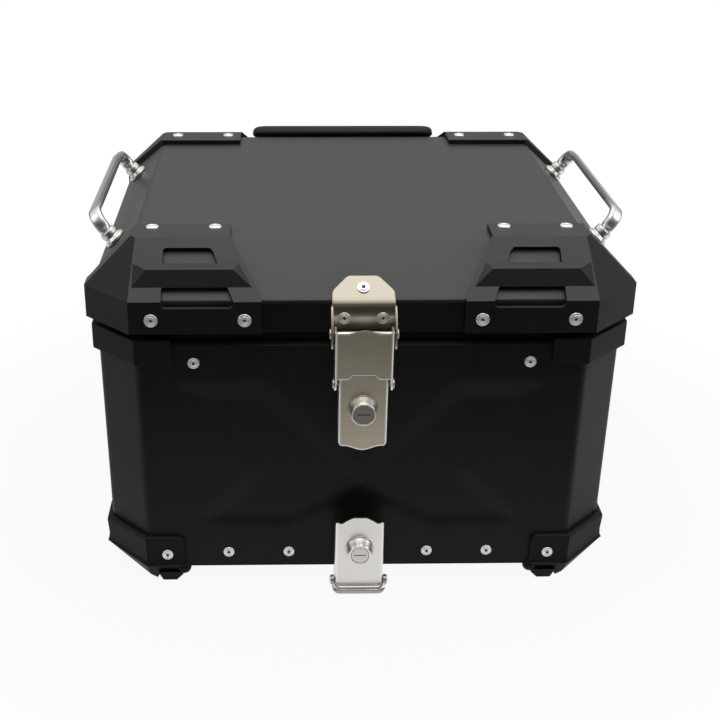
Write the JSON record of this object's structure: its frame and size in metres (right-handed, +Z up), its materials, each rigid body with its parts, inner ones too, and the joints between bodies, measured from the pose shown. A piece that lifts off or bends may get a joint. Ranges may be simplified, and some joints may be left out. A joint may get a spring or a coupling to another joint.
{
  "type": "motorcycle top case",
  "caption": "Square aluminium motorcycle top case with chamfered corners, moulded corner guards with strap loops, a hinged lid, over-centre latch and base latch.",
  "frame": {"origin": "under the feet, in the middle of the overall width and depth", "axes": "+Z up, -Y to the latch side, X across the case along the hinge line"},
  "size_m": [0.4448, 0.4444, 0.2928],
  "materials": {
    "black_coat": "satin black powder coat",
    "black_plastic": "fine matt grain",
    "satin_steel": "satin, warm grey",
    "bright_steel": "satin, light",
    "polished_alloy": "polished",
    "lock_chrome": "bright",
    "seal_rubber": "matt",
    "pad_skin": "matt padded skin"
  },
  "bodies": {
    "case": {"body_shell": "black_coat", "bottom_pan": "black_coat", "rim_frame": "black_coat", "rim_corner_front_left": "black_plastic", "rim_corner_front_right": "black_plastic", "rim_corner_back_left": "black_plastic", "rim_corner_back_right": "black_plastic", "base_corner_front_left": "black_plastic", "base_corner_front_right": "black_plastic", "base_corner_back_left": "black_plastic", "base_corner_back_right": "black_plastic", "latch_keeper": "bright_steel", "base_latch_bracket": "bright_steel", "base_lever_pin": "bright_steel", "hinge_body_leaf_left": "black_coat", "hinge_body_leaf_right": "black_coat", "mount_hook_left": "bright_steel", "mount_hook_right": "bright_steel"},
    "lid": {"lid_shell": "black_coat", "lid_seal": "seal_rubber", "lid_corner_front_left": "black_plastic", "lid_corner_front_right": "black_plastic", "lid_corner_back_left": "black_plastic", "lid_corner_back_right": "black_plastic", "handle_left": "polished_alloy", "handle_right": "polished_alloy", "handle_post_front_left": "polished_alloy", "handle_post_back_left": "polished_alloy", "handle_post_front_right": "polished_alloy", "handle_post_back_right": "polished_alloy", "hinge_lid_leaf_left": "black_coat", "hinge_lid_leaf_right": "black_coat", "hinge_pin_left": "bright_steel", "hinge_pin_right": "bright_steel", "back_pad": "pad_skin", "latch_bracket": "satin_steel", "latch_upper_pin": "bright_steel"},
    "link": {"latch_link": "satin_steel", "latch_lower_pin": "bright_steel"},
    "lever": {"latch_lever": "satin_steel", "lock_housing": "lock_chrome", "lock_nut": "bright_steel"},
    "lock": {"lock_plug": "lock_chrome", "lock_cam": "bright_steel"},
    "base_lever": {"base_lever": "bright_steel", "base_lock_housing": "lock_chrome", "base_lock_nut": "bright_steel", "base_stirrup_pin": "bright_steel"},
    "base_lock": {"base_lock_plug": "lock_chrome", "base_lock_cam": "bright_steel"},
    "stirrup": {"base_stirrup": "bright_steel"}
  },
  "joints": [
    {"name": "lid_hinge", "type": "hinge", "parent": "case", "child": "lid", "pos_m": [0, 0.21825, 0.2225], "axis": [-1, 0, 0], "range_deg": [0, 95]},
    {"name": "link_swing", "type": "hinge", "parent": "lid", "child": "link", "pos_m": [0, -0.20395, 0.231], "axis": [-1, 0, 0], "range_deg": [0, 70]},
    {"name": "lever_swing", "type": "hinge", "parent": "link", "child": "lever", "pos_m": [0, -0.20775, 0.191], "axis": [-1, 0, 0], "range_deg": [0, 90]},
    {"name": "lock_turn", "type": "hinge", "parent": "lever", "child": "lock", "pos_m": [0, -0.21295, 0.171], "axis": [0, 1, 0], "range_deg": [0, 90]},
    {"name": "base_lever_swing", "type": "hinge", "parent": "case", "child": "base_lever", "pos_m": [0, -0.19824, 0.014], "axis": [1, 0, 0], "range_deg": [0, 80]},
    {"name": "base_lock_turn", "type": "hinge", "parent": "base_lever", "child": "base_lock", "pos_m": [0, -0.20924, 0.0415], "axis": [0, 1, 0], "range_deg": [0, 90]},
    {"name": "stirrup_swing", "type": "hinge", "parent": "base_lever", "child": "stirrup", "pos_m": [0, -0.20554, 0.01], "axis": [-1, 0, 0], "range_deg": [0, 60]}
  ]
}
